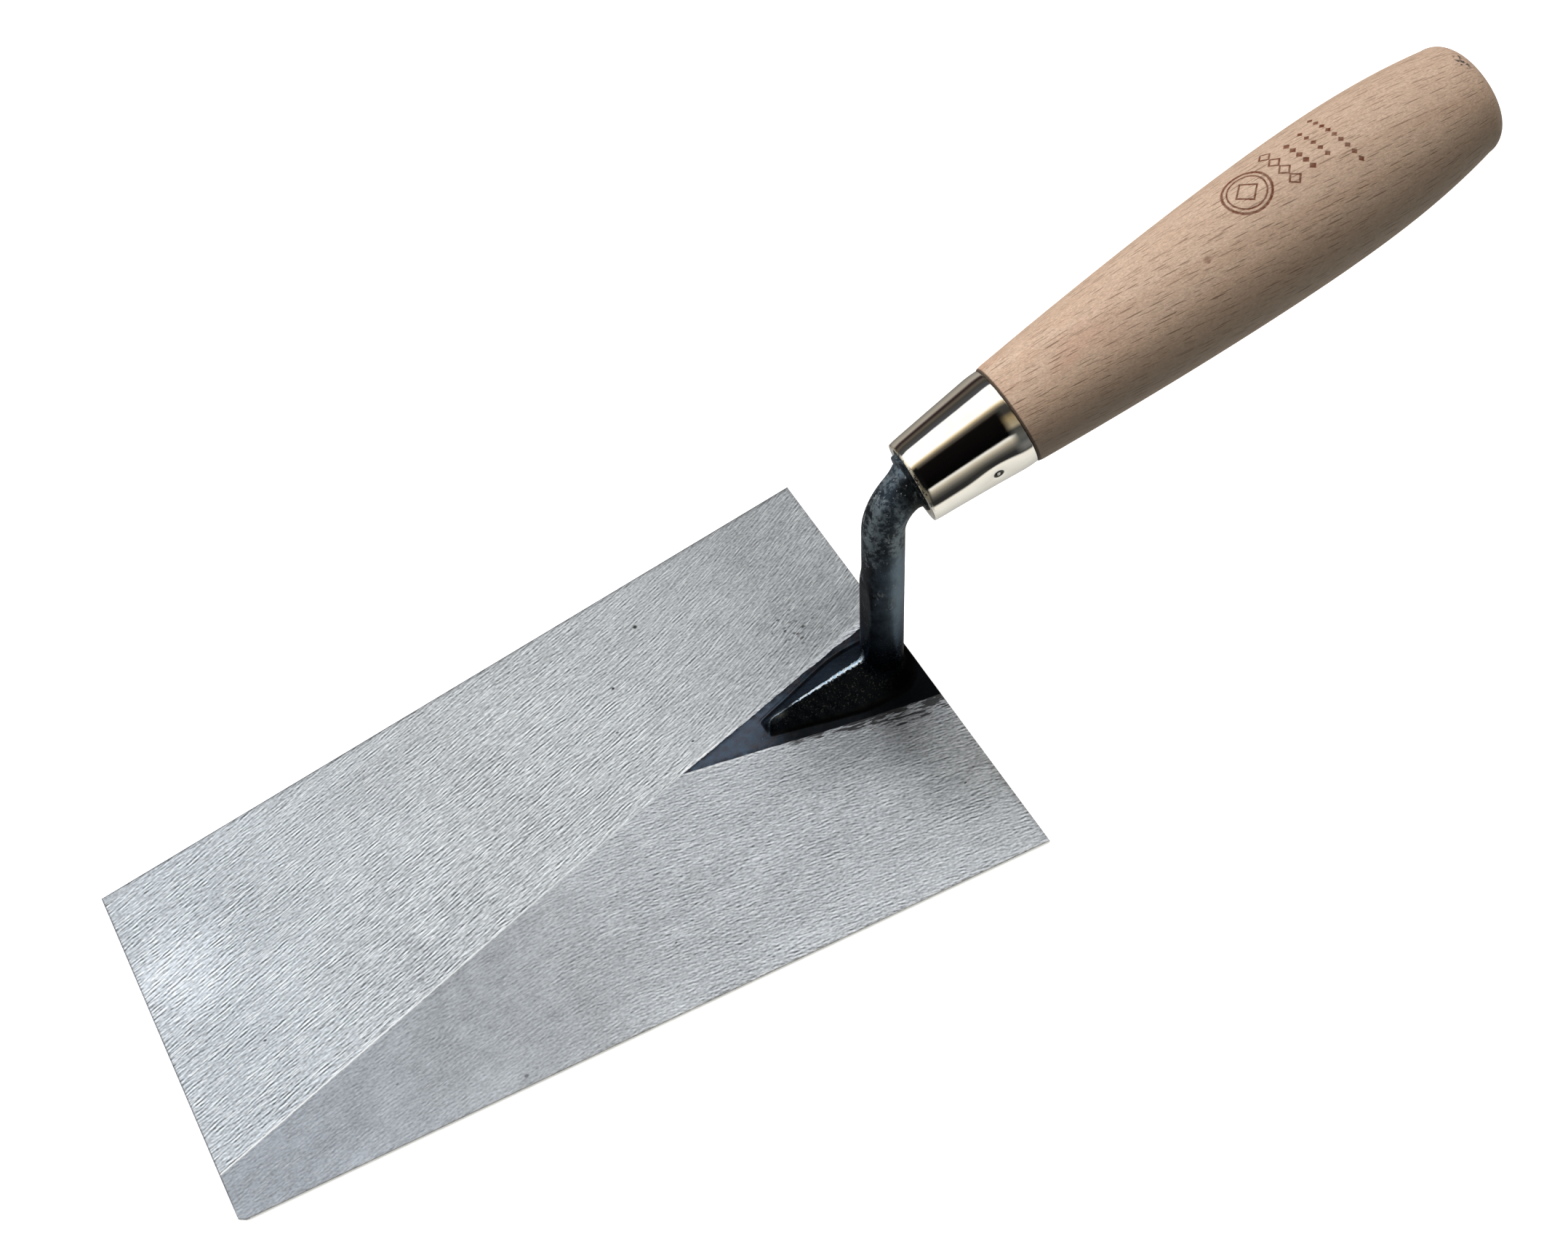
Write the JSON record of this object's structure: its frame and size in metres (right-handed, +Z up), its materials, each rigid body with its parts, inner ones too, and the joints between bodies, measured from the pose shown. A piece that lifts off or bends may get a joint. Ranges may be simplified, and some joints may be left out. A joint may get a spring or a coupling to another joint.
{
  "type": "plastering trowel",
  "caption": "Flat trapezoidal ground-steel trowel blade with a spear-shaped tongue, swan-neck shank, plain ferrule and turned wooden handle.",
  "frame": {"origin": "centre of the blade's flat working face", "axes": "+Z up, away from the working face; +X from the toe of the blade towards the handle; +Y across the blade"},
  "size_m": [0.3587, 0.126, 0.112],
  "materials": {
    "blade": "ground, fine brushed streaks in two directions",
    "shank": "blue-black forge finish, lightly worn on the bend and on the boss's ridge",
    "ferrule": "bright nickel plate, polished",
    "ferrule_pin": "plain steel, darkened",
    "handle": "smooth unvarnished beech with short dark flecks along the grain"
  },
  "bodies": {
    "root": {"blade": "blade", "shank": "shank", "ferrule": "ferrule", "ferrule_pin": "ferrule_pin", "handle": "handle"}
  },
  "joints": []
}
